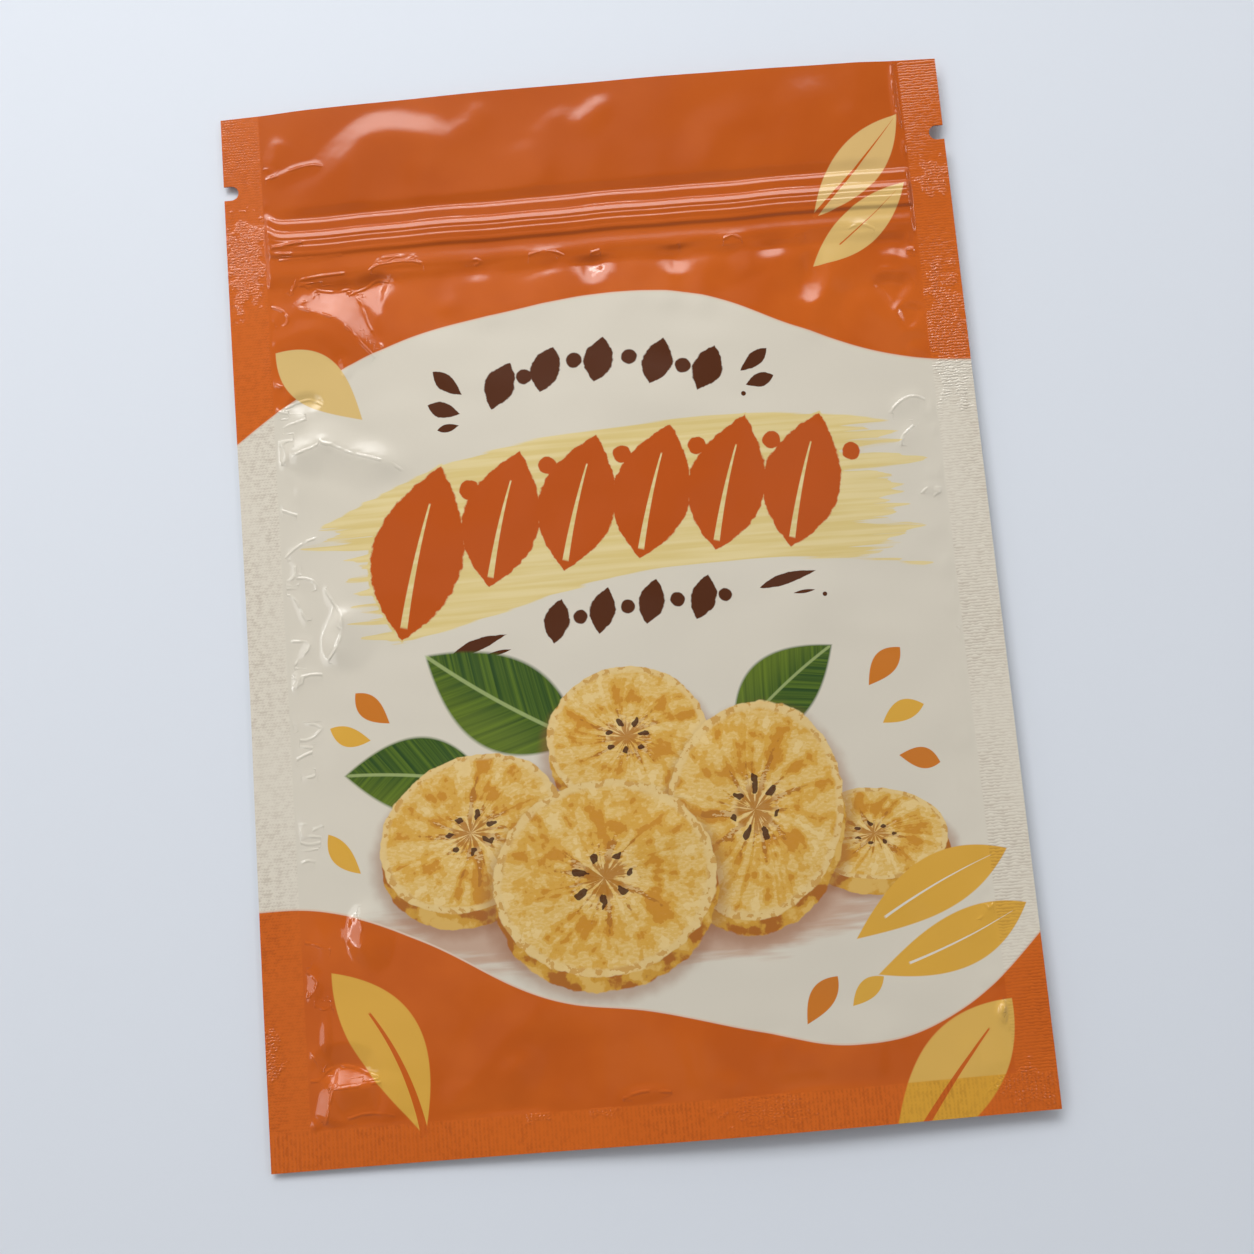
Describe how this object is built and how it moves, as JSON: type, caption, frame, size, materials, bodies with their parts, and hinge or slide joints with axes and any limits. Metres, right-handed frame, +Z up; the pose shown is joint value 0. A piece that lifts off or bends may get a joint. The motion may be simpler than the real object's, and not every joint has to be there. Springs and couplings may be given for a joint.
{
  "type": "flat zipper pouch",
  "caption": "Flat printed-film pouch lying on its back, with a press-to-close zipper below an unsealed mouth, embossed side and foot seals and side tear notches.",
  "frame": {"origin": "on the surface the pouch lies on, under the middle of its outline", "axes": "+X to the right of the printed front, +Y towards the zipper and mouth, +Z up out of the printed front"},
  "size_m": [0.15, 0.2132, 0.0064],
  "materials": {
    "printed_film": "printed laminate film, satin gloss, burnt orange with a cream panel; finely embossed seals"
  },
  "bodies": {
    "root": {"pouch": "printed_film"}
  },
  "joints": []
}
